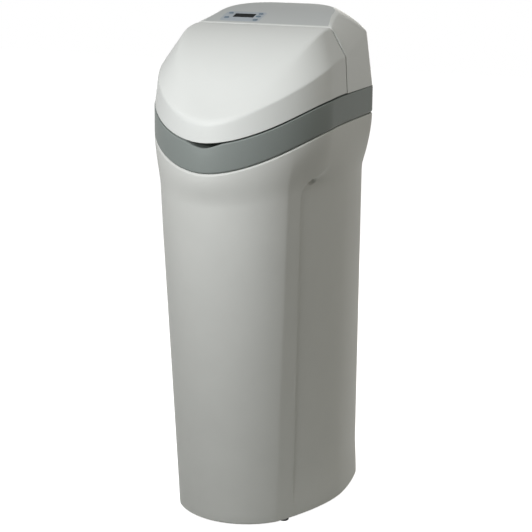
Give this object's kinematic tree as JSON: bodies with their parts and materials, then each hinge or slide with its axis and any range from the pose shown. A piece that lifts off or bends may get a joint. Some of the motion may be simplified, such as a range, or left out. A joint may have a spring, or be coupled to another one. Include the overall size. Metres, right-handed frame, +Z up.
{
  "type": "water softener",
  "caption": "Tall cabinet water softener with a bowed front, dark rim, hinged salt lid and sloped control panel over a resin tank, rotary valve and brine well.",
  "frame": {"origin": "middle of the footprint on the floor", "axes": "+Z up, +X to the right seen from the front, front towards -Y"},
  "size_m": [0.4298, 0.546, 1.2014],
  "materials": {
    "cabinet_plastic": "smooth moulded",
    "shell_plastic": "smooth moulded",
    "rim_plastic": "satin moulded",
    "panel_plastic": "satin moulded",
    "rubber": "matt",
    "steel": "plain",
    "clear_window": "clear",
    "display_black": "gloss",
    "board": "solder mask",
    "button_plastic": "satin",
    "tank_shell": "wound resin shell",
    "white_plastic": "moulded",
    "valve_plastic": "glass filled moulding",
    "turbine_plastic": "moulded",
    "float_plastic": "foam moulded"
  },
  "bodies": {
    "cabinet": {"cabinet": "cabinet_plastic", "feet": "rubber", "rim": "rim_plastic", "top_cover": "shell_plastic", "lid_hinge_pins": "steel", "faceplate": "panel_plastic", "display_window": "clear_window", "display_module": "display_black", "control_board": "board", "board_screws": "steel", "resin_tank": "tank_shell", "riser_tube": "white_plastic", "bottom_distributor": "white_plastic", "top_distributor": "white_plastic", "tank_o_ring": "rubber", "neck_clamps": "valve_plastic", "clamp_retainer": "steel", "valve_body": "valve_plastic", "rotor_seal": "rubber", "wave_washer": "steel", "valve_cover": "valve_plastic", "valve_cover_screws": "steel", "motor_plate": "steel", "plate_screws": "steel", "drive_motor": "steel", "motor_screws": "steel", "position_switch": "display_black", "venturi_housing": "valve_plastic", "nozzle_venturi": "white_plastic", "venturi_gasket": "rubber", "venturi_cap": "valve_plastic", "drain_elbow": "valve_plastic", "turbine_support": "white_plastic", "inlet_adaptor": "panel_plastic", "outlet_adaptor": "panel_plastic", "adaptor_clips": "steel", "adaptor_o_rings": "rubber", "brine_tube": "white_plastic", "brinewell": "white_plastic", "brine_valve": "valve_plastic", "float_guide": "white_plastic", "overflow_grommet": "rubber"},
    "salt_lid": {"salt_lid": "shell_plastic"},
    "select_button": {"select_button": "button_plastic"},
    "set_button": {"set_button": "button_plastic"},
    "up_button": {"up_button": "button_plastic"},
    "down_button": {"down_button": "button_plastic"},
    "recharge_button": {"recharge_button": "button_plastic"},
    "rotor": {"rotor_disc": "white_plastic", "drive_gear": "white_plastic"},
    "motor_pinion": {"motor_pinion": "white_plastic"},
    "turbine": {"turbine_wheel": "turbine_plastic"},
    "float": {"float_stem": "white_plastic", "brine_float": "float_plastic"},
    "brinewell_cap": {"brinewell_cap": "white_plastic"}
  },
  "joints": [
    {"name": "salt_lid_hinge", "type": "hinge", "parent": "cabinet", "child": "salt_lid", "pos_m": [0, 0.0515, 1.158], "axis": [-1, 0, 0], "range_deg": [0, 95]},
    {"name": "select_button_press", "type": "slide", "parent": "cabinet", "child": "select_button", "axis": [0, 0.2931, -0.9561], "range_m": [0, 0.001], "stiffness_N_per_m": 800},
    {"name": "set_button_press", "type": "slide", "parent": "cabinet", "child": "set_button", "axis": [0, 0.2931, -0.9561], "range_m": [0, 0.001], "stiffness_N_per_m": 800},
    {"name": "up_button_press", "type": "slide", "parent": "cabinet", "child": "up_button", "axis": [0, 0.2931, -0.9561], "range_m": [0, 0.001], "stiffness_N_per_m": 800},
    {"name": "down_button_press", "type": "slide", "parent": "cabinet", "child": "down_button", "axis": [0, 0.2931, -0.9561], "range_m": [0, 0.001], "stiffness_N_per_m": 800},
    {"name": "recharge_button_press", "type": "slide", "parent": "cabinet", "child": "recharge_button", "axis": [0, 0.2931, -0.9561], "range_m": [0, 0.001], "stiffness_N_per_m": 800},
    {"name": "rotor_spin", "type": "hinge", "parent": "cabinet", "child": "rotor", "pos_m": [0, 0.14, 1.07], "axis": [0, 0, 1], "continuous": true},
    {"name": "pinion_spin", "type": "hinge", "parent": "cabinet", "child": "motor_pinion", "pos_m": [0.05, 0.14, 1.08], "axis": [0, 0, 1], "continuous": true},
    {"name": "turbine_spin", "type": "hinge", "parent": "cabinet", "child": "turbine", "pos_m": [0.048, 0.21, 1.046], "axis": [0, 1, 0], "continuous": true},
    {"name": "float_rise", "type": "slide", "parent": "cabinet", "child": "float", "axis": [0, 0, 1], "range_m": [0, 0.04]},
    {"name": "brinewell_cap_lift", "type": "slide", "parent": "cabinet", "child": "brinewell_cap", "axis": [0, 0, 1], "range_m": [0, 0.04]}
  ],
  "couplings": [
    {"joint": "pinion_spin", "follows": "rotor_spin", "ratio": -4}
  ]
}
